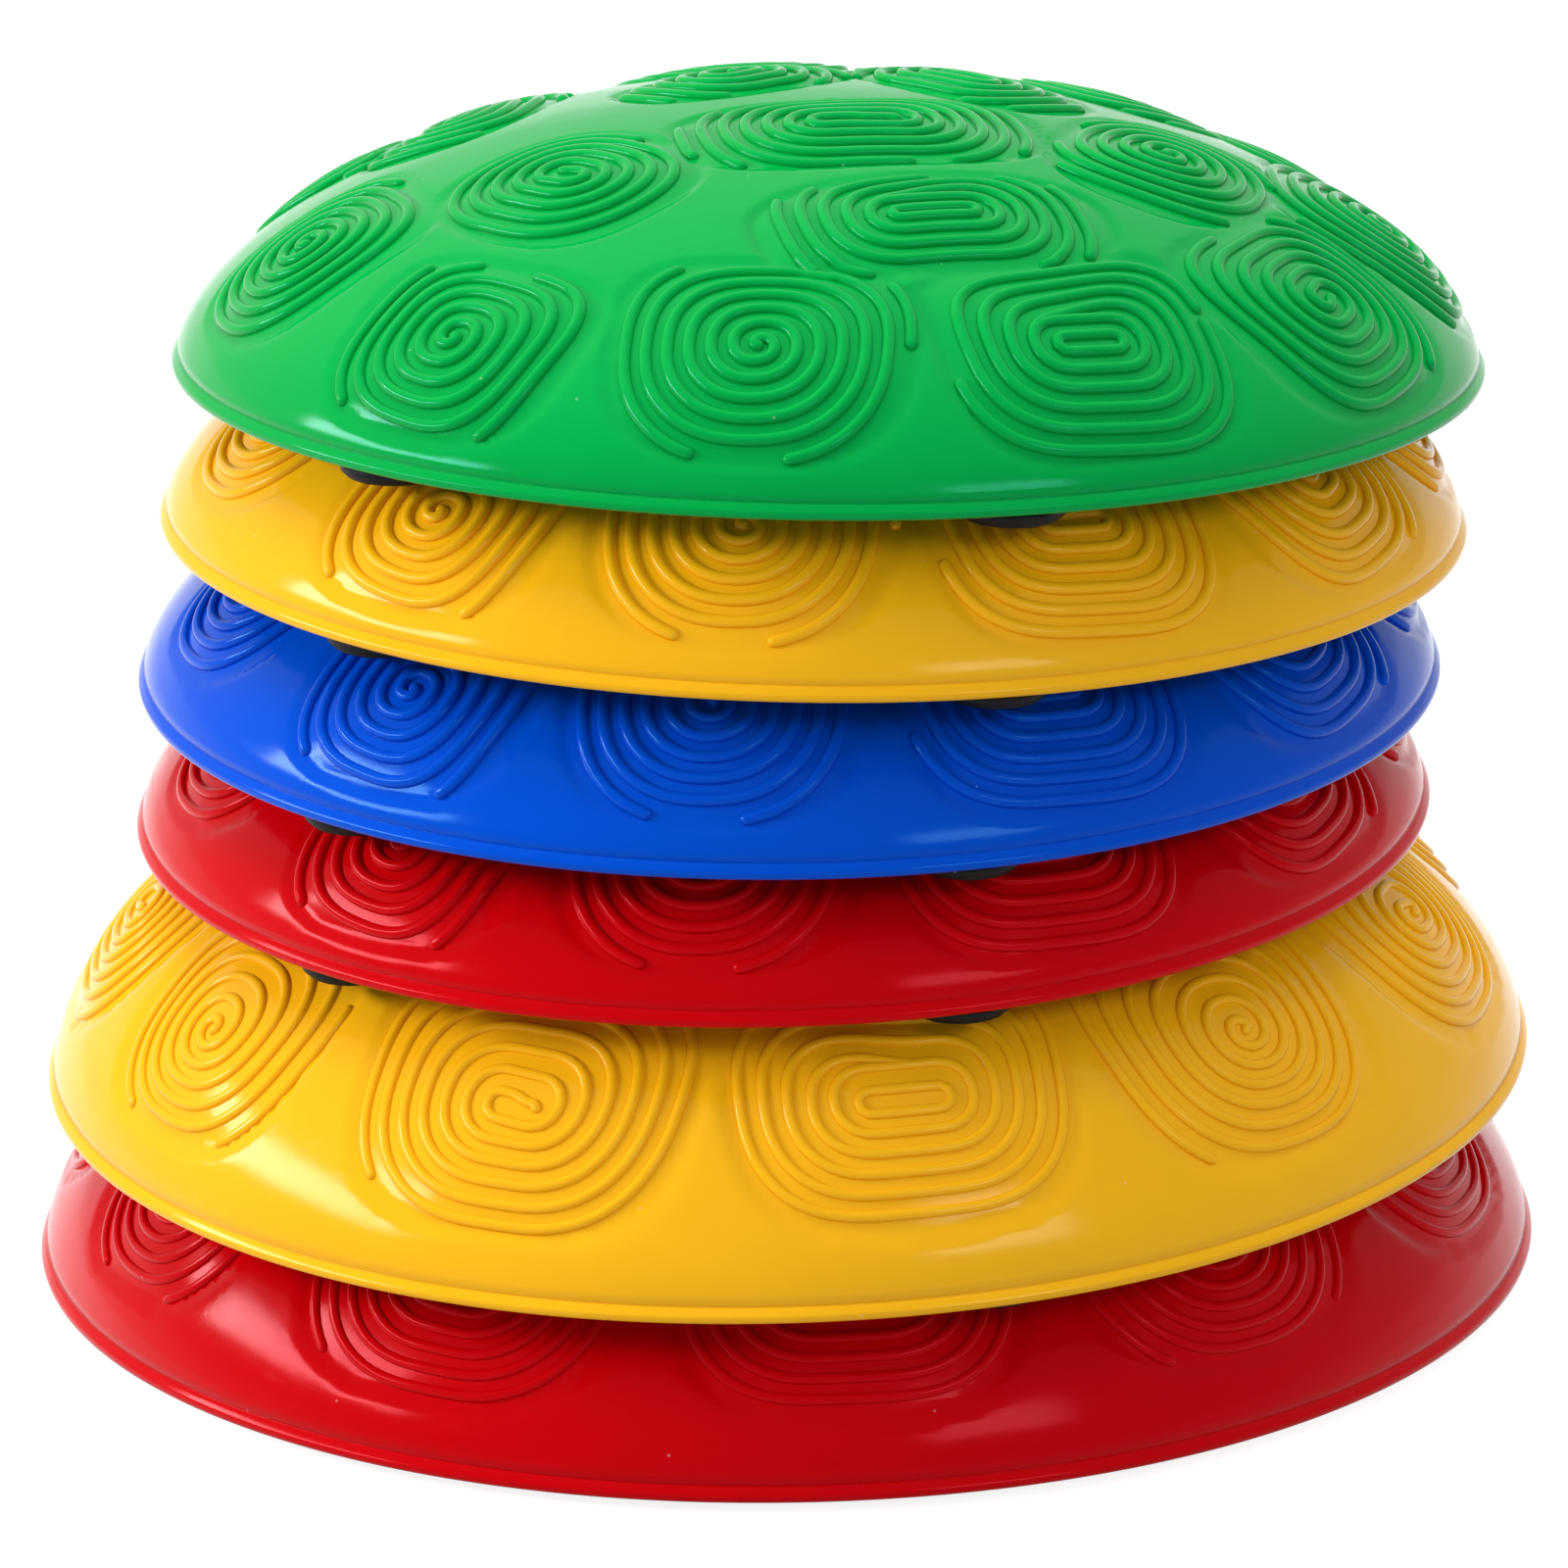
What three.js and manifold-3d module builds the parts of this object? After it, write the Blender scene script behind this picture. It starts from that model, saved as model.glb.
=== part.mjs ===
// A nest of six domed stepping stones for balance play, in millimetres with +Z up.
// Four small stones and two large ones are hollow moulded domes with a scaled, turtle-back top.
// Each stands on rubber feet plugged into bosses under its rim, and rests on the dome below it.
// The origin is on the floor, under the middle of the lowest stone.

import * as THREE from 'three';
import { mergeVertices } from 'three/addons/utils/BufferGeometryUtils.js';
import Module from 'manifold-3d';

// Driving dimensions of the small stones
const smallRimRadius = 172.5;
const smallDomeHeight = 69.5;
const smallFootInset = 15.5;
const smallPadThickness = 4.2;

// Driving dimensions of the large stones
const largeRimRadius = 199.2;
const largeDomeHeight = 99;
const largeFootInset = 17.2;
const largePadThickness = 2.9;

// How far the lowest rim is spread by the load on it
const lowestRimSpread = 3.4;

// Sizes that all stones share
const wall = 3.5;
const lipHeight = 4;
const lipStep = 1;
const lipRound = 0.8;
const pillowHeight = 1.6;
const moatDepth = 1.4;

// The main turn of the ridges cast on each panel: a bar with a three-cornered section
const ridgeHalfWidth = 1.5;
const ridgeHeight = 1.4;
const ridgeRoot = 0.9;

// The rubber foot: a round pad with a stem
const padRadius = 13.5;
const padEdgeWidth = 4;
const padEdgeHeight = 2.2;
const stemRadius = 4;
const stemLength = 11;

// The boss that holds a foot
const bossRadius = 8;
const boreEndRoom = 1;

// Clearances
const fitGap = 0.3;
const seatGap = 0.3;
const nestGap = 4;
const cutOverrun = 2;

// Counts and curve powers
const footCount = 6;
const sectors = 44;
const hollowSectors = 30;
const outerSteps = 11;
const innerSteps = 6;
const footSides = 9;
const bossSides = 10;
const soleSamples = 72;
const ridgeSides = 8;
const domePower = 2.2;
const domeRoundness = 0.67;
const panelSquareness = 2.6;

// Where the first foot lies, in degrees from +X, and how far the large mould's panels are turned
const firstFootAngle = -134;
const largePanelTurn = 18;

// Rings of panels: angles in degrees from +X, places and lengths as shares of the rim radius,
// widths as shares of a panel's sector
const panelRings = [
  { count: 3, firstAngle: -78, radiusShare: 0.2, halfLengthShare: 0.17, widthShare: 0.74 },
  { count: 6, firstAngle: -136, radiusShare: 0.545, halfLengthShare: 0.135, widthShare: 0.84 },
  { count: 11, firstAngle: -98, radiusShare: 0.825, halfLengthShare: 0.145, widthShare: 0.86 },
];
const moatInnerShare = 0.96;
const moatOuterShare = 1.14;

// How far out a ridge's main turn lies, as a share of its panel's half width and half length
const ridgeTurnShare = 0.55;

// Colours of the plastic and of the rubber
const red = 0xd2061d;
const yellow = 0xf5b81e;
const blue = 0x0a58d6;
const green = 0x0aa24a;
const black = 0x17181a;

// The stones from the floor up: how far each is shifted, as shares of its rim radius, and how
// far it turns, dips to the front and leans to the right, in degrees. The tops of the two ridged
// ones show.
const stones = [
  { name: 'red_large', large: true, spread: lowestRimSpread, turn: -5, colour: red },
  {
    name: 'yellow_large',
    large: true,
    ridged: true,
    shiftShares: [0.005, -0.02],
    dip: 1.8,
    lean: -0.9,
    colour: yellow,
  },
  { name: 'red_small', shiftShares: [0.005, -0.029], dip: 2.2, lean: -0.7, colour: red },
  { name: 'blue_small', shiftShares: [0.0175, -0.0405], dip: 2.1, lean: 0.2, colour: blue },
  { name: 'yellow_small', shiftShares: [0.058, -0.0175], dip: 0.7, lean: 1.5, colour: yellow },
  { name: 'green_small', ridged: true, shiftShares: [0.084, 0], dip: -0.4, lean: 1.25, colour: green },
];

const wasm = await Module();
wasm.setup();

const up = new THREE.Vector3(0, 0, 1);
const down = new THREE.Vector3(0, 0, -1);

function radians(degrees) {
  return THREE.MathUtils.degToRad(degrees);
}

// The sizes of one stone's mould
function mouldOf(stone) {
  if (stone.large) {
    return {
      rimRadius: largeRimRadius + (stone.spread ?? 0),
      domeHeight: largeDomeHeight,
      footRingRadius: largeRimRadius - largeFootInset,
      footDrop: largePadThickness + fitGap,
      panelTurn: radians(largePanelTurn),
      ridged: stone.ridged,
    };
  }
  return {
    rimRadius: smallRimRadius,
    domeHeight: smallDomeHeight,
    footRingRadius: smallRimRadius - smallFootInset,
    footDrop: smallPadThickness + fitGap,
    panelTurn: 0,
    ridged: stone.ridged,
  };
}

// A closed mesh as a solid that can be cut and joined
function toSolid(geometry) {
  const bare = geometry.clone();
  bare.deleteAttribute('normal');
  bare.deleteAttribute('uv');
  const merged = mergeVertices(bare);
  return new wasm.Manifold(new wasm.Mesh({
    numProp: 3,
    vertProperties: new Float32Array(merged.attributes.position.array),
    triVerts: new Uint32Array(merged.index.array),
  }));
}

// A cut solid back as a mesh
function toGeometry(solid) {
  const mesh = solid.getMesh();
  const geometry = new THREE.BufferGeometry();
  geometry.setAttribute('position', new THREE.BufferAttribute(mesh.vertProperties, 3));
  geometry.setIndex(new THREE.BufferAttribute(mesh.triVerts, 1));
  geometry.computeVertexNormals();
  return geometry;
}

function meshOf(points, faces) {
  const geometry = new THREE.BufferGeometry();
  const numbers = points.flatMap((point) => point.toArray());
  geometry.setAttribute('position', new THREE.Float32BufferAttribute(numbers, 3));
  geometry.setIndex(faces);
  return geometry;
}

// A body round the Z axis: rings of points from the bottom middle up to the top middle
function closedRings(bottom, rings, top) {
  const points = [bottom, ...rings.flat(), top];
  const faces = [];
  const last = points.length - 1;
  const sides = rings[0].length;
  const at = (ring, side) => 1 + ring * sides + (side % sides);
  for (let side = 0; side < sides; side += 1) {
    faces.push(0, at(0, side + 1), at(0, side));
    for (let ring = 0; ring + 1 < rings.length; ring += 1) {
      faces.push(at(ring, side), at(ring, side + 1), at(ring + 1, side + 1));
      faces.push(at(ring, side), at(ring + 1, side + 1), at(ring + 1, side));
    }
    faces.push(at(rings.length - 1, side), at(rings.length - 1, side + 1), last);
  }
  return meshOf(points, faces);
}

// A ring of points that starts in line with a panel of the outermost ring
function circle(sides, radius, height) {
  const start = radians(panelRings[panelRings.length - 1].firstAngle);
  return Array.from({ length: sides }, (_, side) => {
    const angle = start + (side / sides) * 2 * Math.PI;
    return new THREE.Vector3(radius * Math.cos(angle), radius * Math.sin(angle), height);
  });
}

// Height of a smooth dome at a share of its radius
function domeRise(share) {
  return Math.max(0, 1 - share ** domePower) ** domeRoundness;
}

// The sizes of a ring's panels, and the turn from one to the next
function panelSizes(ring, rimRadius) {
  const pitch = (2 * Math.PI) / ring.count;
  const middle = ring.radiusShare * rimRadius;
  const halfWidth = middle * Math.tan(Math.min(pitch, Math.PI / 2) / 2) * ring.widthShare;
  return { pitch, middle, halfWidth, halfLength: ring.halfLengthShare * rimRadius };
}

// How far out a place is on a panel, given in half widths and half lengths: 1 on its outline
function panelReach(sideways, outwards) {
  const sum = Math.abs(sideways) ** panelSquareness + Math.abs(outwards) ** panelSquareness;
  return sum ** (1 / panelSquareness);
}

// How far a panel's pillow stands over the web between panels, or its moat lies under it
function panelRelief(x, y, rimRadius) {
  const radius = Math.hypot(x, y);
  const angle = Math.atan2(y, x);
  let nearest = Infinity;
  for (const ring of panelRings) {
    const { pitch, middle, halfWidth, halfLength } = panelSizes(ring, rimRadius);
    const turns = (angle - radians(ring.firstAngle)) / pitch;
    const across = (turns - Math.round(turns)) * pitch;
    const sideways = (radius * Math.sin(across)) / halfWidth;
    const outwards = (radius * Math.cos(across) - middle) / halfLength;
    nearest = Math.min(nearest, panelReach(sideways, outwards));
  }
  const step = THREE.MathUtils.smoothstep(nearest, moatInnerShare, moatOuterShare);
  const bulge = Math.max(0, 1 - (nearest / moatInnerShare) ** 2);
  return bulge * (pillowHeight + moatDepth) - moatDepth * (1 - step);
}

// A ring of points on a dome, from the dome's edge (turn 0) to its top (turn 1)
function domeRing(sides, radius, base, height, turn, relief) {
  const share = Math.cos((turn * Math.PI) / 2);
  const smooth = circle(sides, radius * share, base + height * domeRise(share));
  return smooth.map((point) => {
    const steepness = (height / radius) * share;
    const normal = new THREE.Vector3(point.x, point.y, 0).setLength(steepness).add(up).normalize();
    return point.addScaledVector(normal, relief(point));
  });
}

function domeRings(sides, steps, radius, base, height, relief) {
  return Array.from({ length: steps }, (_, step) => (
    domeRing(sides, radius, base, height, step / steps, relief)
  ));
}

// Height of a mesh at a place seen from above, or nothing beside it
function heightAt(mesh, x, y) {
  const ray = new THREE.Raycaster(new THREE.Vector3(x, y, largeDomeHeight * stones.length), down);
  return ray.intersectObject(mesh)[0]?.point.z;
}

// The three corners of a ridge's section at one corner of its turn, inner foot first
function ridgeSection(ring, panelAngle, turn, rimRadius, block) {
  const { middle, halfWidth, halfLength } = panelSizes(ring, rimRadius);
  const reach = panelReach(Math.cos(turn), Math.sin(turn));
  const section = [[-ridgeHalfWidth, -ridgeRoot], [0, ridgeHeight], [ridgeHalfWidth, -ridgeRoot]];
  return section.map(([offset, rise]) => {
    const sideways = (Math.cos(turn) / reach) * (ridgeTurnShare * halfWidth + offset);
    const outwards = (Math.sin(turn) / reach) * (ridgeTurnShare * halfLength + offset);
    const place = new THREE.Vector3(middle + outwards, sideways, 0).applyAxisAngle(up, panelAngle);
    place.z = heightAt(block, place.x, place.y) + rise;
    return place;
  });
}

// The main turn of a panel's ridge as a closed bar, sunk into the block
function ridgeBar(ring, panelAngle, rimRadius, block) {
  const sections = Array.from({ length: ridgeSides }, (_, side) => (
    ridgeSection(ring, panelAngle, ((side + 0.5) / ridgeSides) * 2 * Math.PI, rimRadius, block)
  ));
  const corners = sections[0].length;
  const at = (side, corner) => (side % ridgeSides) * corners + (corner % corners);
  const faces = [];
  for (let side = 0; side < ridgeSides; side += 1) {
    for (let corner = 0; corner < corners; corner += 1) {
      faces.push(at(side, corner), at(side + 1, corner + 1), at(side, corner + 1));
      faces.push(at(side, corner), at(side + 1, corner), at(side + 1, corner + 1));
    }
  }
  return meshOf(sections.flat(), faces);
}

// The ridges of all panels
function ridgeBars(rimRadius, block) {
  return panelRings.flatMap((ring) => Array.from({ length: ring.count }, (_, index) => {
    const panelAngle = radians(ring.firstAngle) + index * panelSizes(ring, rimRadius).pitch;
    return ridgeBar(ring, panelAngle, rimRadius, block);
  }));
}

// The dome with its lip as one solid block, before it is hollowed
function domeBlock(mould) {
  const edge = mould.rimRadius - lipStep;
  const rings = [
    circle(sectors, mould.rimRadius - lipRound, 0),
    circle(sectors, mould.rimRadius, lipRound),
    circle(sectors, mould.rimRadius, lipHeight - lipRound),
    ...domeRings(sectors, outerSteps, edge, lipHeight, mould.domeHeight - lipHeight,
      (point) => panelRelief(point.x, point.y, mould.rimRadius)),
  ];
  const topRelief = panelRelief(0, 0, mould.rimRadius);
  const top = new THREE.Vector3(0, 0, mould.domeHeight + topRelief);
  const block = closedRings(new THREE.Vector3(), rings, top);
  const bars = mould.ridged ? ridgeBars(mould.rimRadius, new THREE.Mesh(block)) : [];
  const solids = [block, ...bars].map((geometry) => toSolid(geometry.rotateZ(mould.panelTurn)));
  return wasm.Manifold.union(solids);
}

// The rings and the top of the dome's underside
function undersideRings(mould) {
  const edge = mould.rimRadius - wall;
  return domeRings(hollowSectors, innerSteps, edge, 0, mould.domeHeight - wall, () => 0);
}

function undersideTop(mould) {
  return new THREE.Vector3(0, 0, mould.domeHeight - wall);
}

// The hollow under the dome, run on below the rim
function hollowBlock(mould) {
  const rings = [circle(hollowSectors, mould.rimRadius - wall, -cutOverrun), ...undersideRings(mould)];
  return toSolid(closedRings(new THREE.Vector3(0, 0, -cutOverrun), rings, undersideTop(mould)));
}

function footAngle(index) {
  return radians(firstFootAngle) + (index / footCount) * 2 * Math.PI;
}

function footPlace(mould, index) {
  const angle = footAngle(index);
  return new THREE.Vector3(Math.cos(angle), Math.sin(angle), 0).multiplyScalar(mould.footRingRadius);
}

// An upright round bar at a foot's place
function footBar(mould, index, radius, low, high, sides) {
  const bar = new THREE.CylinderGeometry(radius, radius, high - low, sides);
  bar.rotateX(Math.PI / 2);
  const place = footPlace(mould, index);
  bar.translate(place.x, place.y, (low + high) / 2);
  return toSolid(bar);
}

// The moulded shell: the dome block less its hollow, with a bored boss left for each foot
function shellGeometry(mould) {
  const boreTop = stemLength - fitGap + boreEndRoom;
  let hollow = hollowBlock(mould);
  for (let index = 0; index < footCount; index += 1) {
    hollow = hollow.subtract(footBar(mould, index, bossRadius, 0, mould.domeHeight, bossSides));
  }
  let shell = domeBlock(mould).subtract(hollow);
  for (let index = 0; index < footCount; index += 1) {
    shell = shell.subtract(footBar(mould, index, stemRadius + fitGap, -cutOverrun, boreTop, bossSides));
  }
  return toGeometry(shell);
}

// The foot: a flat pad with a sloped edge, and the stem that plugs into the boss
function footGeometry(mould) {
  const sole = -mould.footDrop;
  const padTop = -fitGap;
  const profile = [
    new THREE.Vector2(0, sole),
    new THREE.Vector2(padRadius - padEdgeWidth, sole),
    new THREE.Vector2(padRadius, sole + padEdgeHeight),
    new THREE.Vector2(padRadius, padTop),
    new THREE.Vector2(stemRadius, padTop),
    new THREE.Vector2(stemRadius, padTop + stemLength),
    new THREE.Vector2(0, padTop + stemLength),
  ];
  const foot = new THREE.LatheGeometry(profile, footSides);
  foot.rotateX(Math.PI / 2);
  return foot;
}

function plastic(colour) {
  return new THREE.MeshStandardMaterial({ color: colour, roughness: 0.3, metalness: 0 });
}

function rubber() {
  return new THREE.MeshStandardMaterial({ color: black, roughness: 0.7, metalness: 0 });
}

// One stone, with its rim's middle at its own origin
function makeStone(stone) {
  const mould = mouldOf(stone);
  const body = new THREE.Group();
  const shell = new THREE.Mesh(shellGeometry(mould), plastic(stone.colour));
  shell.name = `${stone.name}_shell`;
  body.add(shell);
  for (let index = 0; index < footCount; index += 1) {
    const foot = new THREE.Mesh(footGeometry(mould), rubber());
    foot.name = `${stone.name}_foot_${index + 1}`;
    foot.position.copy(footPlace(mould, index));
    foot.rotation.z = footAngle(index);
    body.add(foot);
  }
  return body;
}

// Points round the edges of a foot's sole, in its stone's frame
function soleEdge(mould) {
  const points = [];
  for (let index = 0; index < footCount; index += 1) {
    for (let sample = 0; sample < soleSamples; sample += 1) {
      const angle = (sample / soleSamples) * 2 * Math.PI;
      const around = new THREE.Vector3(Math.cos(angle), Math.sin(angle), 0);
      const low = footPlace(mould, index).addScaledVector(around, padRadius - padEdgeWidth);
      low.z = -mould.footDrop;
      const high = footPlace(mould, index).addScaledVector(around, padRadius);
      high.z = padEdgeHeight - mould.footDrop;
      points.push(low, high);
    }
  }
  return points;
}

// How far some points of a stone must rise to clear the shell below
function riseOf(points, gap, body, shellBelow) {
  let rise = -Infinity;
  for (const point of points) {
    const place = body.localToWorld(point.clone());
    const height = heightAt(shellBelow, place.x, place.y) ?? -Infinity;
    rise = Math.max(rise, height + gap - place.z);
  }
  return rise;
}

// A stone rests by its feet, or by its hollow where the dome below is too tall for the feet to reach
function seatRise(body, mould, shellBelow) {
  const underside = [...undersideRings(mould).flat(), undersideTop(mould)];
  return Math.max(
    riseOf(soleEdge(mould), seatGap, body, shellBelow),
    riseOf(underside, nestGap, body, shellBelow),
  );
}

const group = new THREE.Group();
let below = null;
for (const stone of stones) {
  const mould = mouldOf(stone);
  const body = makeStone(stone);
  body.rotation.set(radians(stone.dip ?? 0), radians(stone.lean ?? 0), radians(stone.turn ?? 0));
  body.position.z = mould.footDrop;
  if (below) {
    const [shareX, shareY] = stone.shiftShares;
    body.position.set(shareX * mould.rimRadius, shareY * mould.rimRadius, 0);
    body.updateMatrixWorld(true);
    body.position.z = seatRise(body, mould, below.children[0]);
  }
  group.add(body);
  body.updateMatrixWorld(true);
  below = body;
}

export default group;
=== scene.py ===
# A nest of six moulded stepping stones with swirled turtle-back panels, on rubber feet
import math
import bpy
import numpy as np
from mathutils import Matrix, Vector


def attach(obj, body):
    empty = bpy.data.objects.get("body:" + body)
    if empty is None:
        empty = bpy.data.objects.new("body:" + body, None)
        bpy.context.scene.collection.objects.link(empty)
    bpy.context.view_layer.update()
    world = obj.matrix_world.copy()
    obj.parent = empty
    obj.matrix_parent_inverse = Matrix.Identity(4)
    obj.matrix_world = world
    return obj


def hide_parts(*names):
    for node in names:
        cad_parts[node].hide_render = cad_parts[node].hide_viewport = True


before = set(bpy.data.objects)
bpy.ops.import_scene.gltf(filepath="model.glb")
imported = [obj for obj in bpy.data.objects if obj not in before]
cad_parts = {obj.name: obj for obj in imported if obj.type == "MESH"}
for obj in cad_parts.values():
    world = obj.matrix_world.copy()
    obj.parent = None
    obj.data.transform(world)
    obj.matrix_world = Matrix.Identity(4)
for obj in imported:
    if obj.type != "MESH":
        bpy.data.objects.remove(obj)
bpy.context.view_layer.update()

mm = 0.001

stones = {
    "red_large": {"mould": "lowest", "colour": "red"},
    "yellow_large": {"mould": "large", "colour": "yellow"},
    "red_small": {"mould": "small", "colour": "red"},
    "blue_small": {"mould": "small", "colour": "blue"},
    "yellow_small": {"mould": "small", "colour": "yellow"},
    "green_small": {"mould": "small", "colour": "green"},
}

# Millimetres, in the frame of one stone: its rim lies at height 0
shellSizes = {
    "small": {"rimRadius": 172.5, "domeHeight": 69.5, "footRing": 157.0, "footDrop": 4.5, "ringStep": 1.8},
    "large": {"rimRadius": 199.2, "domeHeight": 99.0, "footRing": 182.0, "footDrop": 3.2, "ringStep": 2.5},
    "lowest": {"rimRadius": 202.6, "domeHeight": 99.0, "footRing": 182.0, "footDrop": 3.2, "ringStep": 2.5},
    "wall": 3.5,
    "lipHeight": 4.0,
    "lipStep": 1.5,
    "domePower": 2.2,
    "domeRoundness": 0.67,
    "firstFoot": -134.0,
    "footCount": 6,
    "sides": 480,
    "halvingRadii": (74.0, 30.0),
    "bossRadius": 8.0,
    "boreRadius": 4.3,
    "boreDepth": 11.7,
    "bossOverlap": 1.3,
    "bossSides": 28,
    "innerRings": 40,
    "innerTurns": (0.03, 0.985),
    "fewestInnerSides": 120,
    "innerRelief": 0.75,
}

# The lip from the crease at the foot of the dome round to the inner wall: out from the rim, and height
lipProfile = (
    (-1.8, 4.25), (-1.86, 4.02), (-1.62, 3.9), (-1.4, 3.76), (-0.85, 3.12), (-0.3, 2.4), (-0.08, 2.05),
    (0.0, 1.8), (0.0, 0.9), (-0.22, 0.35), (-0.75, 0.0), (-2.4, 0.0), (-3.1, 0.25), (-3.45, 0.9),
)

reliefSizes = {
    "small": {"pillow": 1.7, "moat": 1.0},
    "large": {"pillow": 1.2, "moat": 1.3},
    "lowest": {"pillow": 1.2, "moat": 1.3},
    "edgeInner": 0.2,
    "edgeOuter": 2.2,
}

ridgeSizes = {
    "small": {"half": 1.72, "height": 1.6, "pitch": 5.5, "drift": 0.0, "step": 2.7},
    "large": {"half": 1.5, "height": 1.2, "pitch": 5.9, "drift": -0.12, "step": 3.2},
    "lowest": {"half": 1.5, "height": 1.2, "pitch": 5.9, "drift": -0.12, "step": 3.3},
    "sunk": 0.55,
    "edgeRoom": 1.3,
    "shortest": 14.0,
    "stepShare": 0.4,
    "finestStep": 0.8,
    "stepGrowth": 4.2,
    "loopStep": 2.0,
    "loopPoints": 241,
    "sweepStep": 1.5,
    "sectionAngles": (0, 24, 50, 76, 104, 130, 156, 180),
    "endAngles": (35, 65, 84),
    "halvings": 34,
}

# One row per panel: angle, middle radius, half across, half along, core half length, first turn,
# start angle, hand, squareness of the turns and of the outline, turn of the pattern in degrees,
# most turns round a closed core or 0 for an open one. Lengths are shares of 100 mm of rim radius.
smallPanels = [
    ("round", -97.4, 82.8, 22.0, 19.2, 0.0, 0.30, 150, 1, 2.5, 3.0, 0, 0),
    ("round", -64.5, 84.0, 22.0, 18.7, 3.6, 1.55, 190, 1, 3.1, 4.0, 4, 5),
    ("round", -32.2, 84.6, 22.0, 18.8, 1.0, 0.30, 10, 1, 2.9, 3.4, -6, 0),
    ("round", -0.2, 83.5, 21.8, 19.0, 0.0, 0.30, 60, 1, 2.6, 3.0, 0, 0),
    ("round", 31.3, 83.5, 21.6, 19.0, 3.2, 0.50, 0, -1, 2.8, 3.2, 3, 0),
    ("round", 62.8, 83.5, 21.6, 19.0, 0.0, 0.30, 200, 1, 2.4, 3.0, 0, 0),
    ("round", 94.3, 83.5, 21.6, 19.0, 3.4, 1.50, 180, 1, 3.0, 3.4, -4, 9),
    ("round", 125.6, 83.5, 21.4, 19.0, 0.0, 0.30, 90, -1, 2.6, 3.2, 0, 0),
    ("round", 155.4, 83.5, 18.6, 18.0, 2.0, 0.45, 0, 1, 2.8, 3.0, 5, 0),
    ("round", -163.0, 81.0, 19.4, 18.4, 0.0, 0.30, 20, 1, 2.6, 3.0, 0, 0),
    ("round", -128.8, 86.4, 20.0, 16.2, 0.0, 0.30, 330, 1, 2.9, 3.3, 8, 0),
    ("straight", -139.6, 51.0, 19.4, 17.8, 1.5, 0.55, 200, 1, 2.3, 2.5, 0, 0),
    ("straight", -74.5, 54.4, 26.6, 14.0, 5.2, 1.20, 180, 1, 2.6, 2.8, 0, 9),
    ("straight", -17.0, 52.4, 22.4, 16.4, 0.0, 0.30, 250, 1, 2.4, 2.6, 0, 0),
    ("straight", 44.0, 57.5, 24.0, 13.0, 4.5, 0.55, 0, -1, 2.6, 2.8, 0, 0),
    ("straight", 104.0, 54.2, 24.0, 15.0, 1.5, 0.40, 120, 1, 2.5, 2.6, 0, 0),
    ("straight", 157.0, 60.0, 22.0, 13.0, 4.8, 1.30, 170, 1, 2.6, 2.8, 0, 9),
    ("straight", -78.0, 18.9, 27.6, 16.6, 5.2, 0.55, 0, -1, 2.5, 2.8, 0, 0),
    ("straight", 42.0, 28.0, 21.5, 12.2, 4.0, 0.55, 0, 1, 2.5, 2.7, 0, 0),
    ("straight", 128.0, 23.0, 19.5, 12.0, 2.0, 0.45, 40, 1, 2.4, 2.6, 0, 0),
]

largeRim = [
    ("round", -80.0, 83.6, 21.8, 19.2, 4.2, 1.60, 300, -1, 2.9, 3.4, 0, 9),
    ("round", -47.3, 83.6, 21.4, 19.2, 0.0, 0.30, 40, -1, 2.6, 3.2, 0, 0),
    ("round", -14.5, 83.6, 21.4, 19.2, 1.2, 0.40, 40, -1, 2.6, 3.0, 0, 0),
    ("round", 18.2, 83.6, 21.4, 19.2, 3.4, 1.50, 180, 1, 3.0, 3.4, 0, 9),
    ("round", 50.9, 83.6, 21.4, 19.2, 0.0, 0.30, 200, 1, 2.4, 3.0, 0, 0),
    ("round", 83.6, 83.6, 21.4, 19.2, 3.0, 0.50, 0, -1, 2.8, 3.2, 0, 0),
    ("round", 116.4, 83.6, 21.4, 19.2, 0.0, 0.30, 90, 1, 2.5, 3.0, 0, 0),
    ("round", 149.1, 83.6, 21.4, 19.2, 3.4, 1.50, 180, 1, 3.0, 3.4, 0, 9),
    ("round", -178.2, 83.6, 21.4, 19.2, 1.2, 0.40, 20, 1, 2.6, 3.0, 0, 0),
    ("round", -147.2, 85.6, 19.0, 17.2, 0.0, 0.30, 20, -1, 2.6, 3.0, 0, 0),
    ("round", -112.7, 84.6, 22.6, 18.6, 2.2, 0.40, 0, -1, 2.5, 3.2, 0, 0),
]
innerTurn = 18.0
largePanels = largeRim + [(kind, angle + innerTurn, *rest) for kind, angle, *rest in smallPanels[11:]]

panelTables = {"small": smallPanels, "large": largePanels, "lowest": largePanels}


def readPanel(row, mould):
    rimRadius = shellSizes[mould]["rimRadius"]
    names = ("layout", "angle", "middle", "across", "along", "core", "first", "start", "hand",
             "turnShape", "outlineShape", "twist", "closedTurns")
    panel = dict(zip(names, row))
    for name in ("middle", "across", "along", "core", "first"):
        panel[name] *= rimRadius / 100
    for name in ("angle", "start", "twist"):
        panel[name] = math.radians(panel[name])
    return {**panel, **reliefSizes[mould], "ridge": ridgeSizes[mould]}


# The smooth outer curve of a dome from its middle to its edge, with the way along it
def domeCurve(size):
    edge = size["rimRadius"] - shellSizes["lipStep"]
    lip = shellSizes["lipHeight"]
    turn = np.linspace(0, 1, 3001)
    share = np.sin(turn * math.pi / 2) * 0.99999
    radius = edge * share
    rise = (1 - share ** shellSizes["domePower"]) ** shellSizes["domeRoundness"]
    height = lip + (size["domeHeight"] - lip) * rise
    way = np.concatenate([[0], np.cumsum(np.hypot(np.diff(radius), np.diff(height)))])
    slopeR = np.gradient(radius, way)
    slopeZ = np.gradient(height, way)
    return {"way": way, "radius": radius, "height": height, "normalR": -slopeZ, "normalZ": slopeR}


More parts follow.
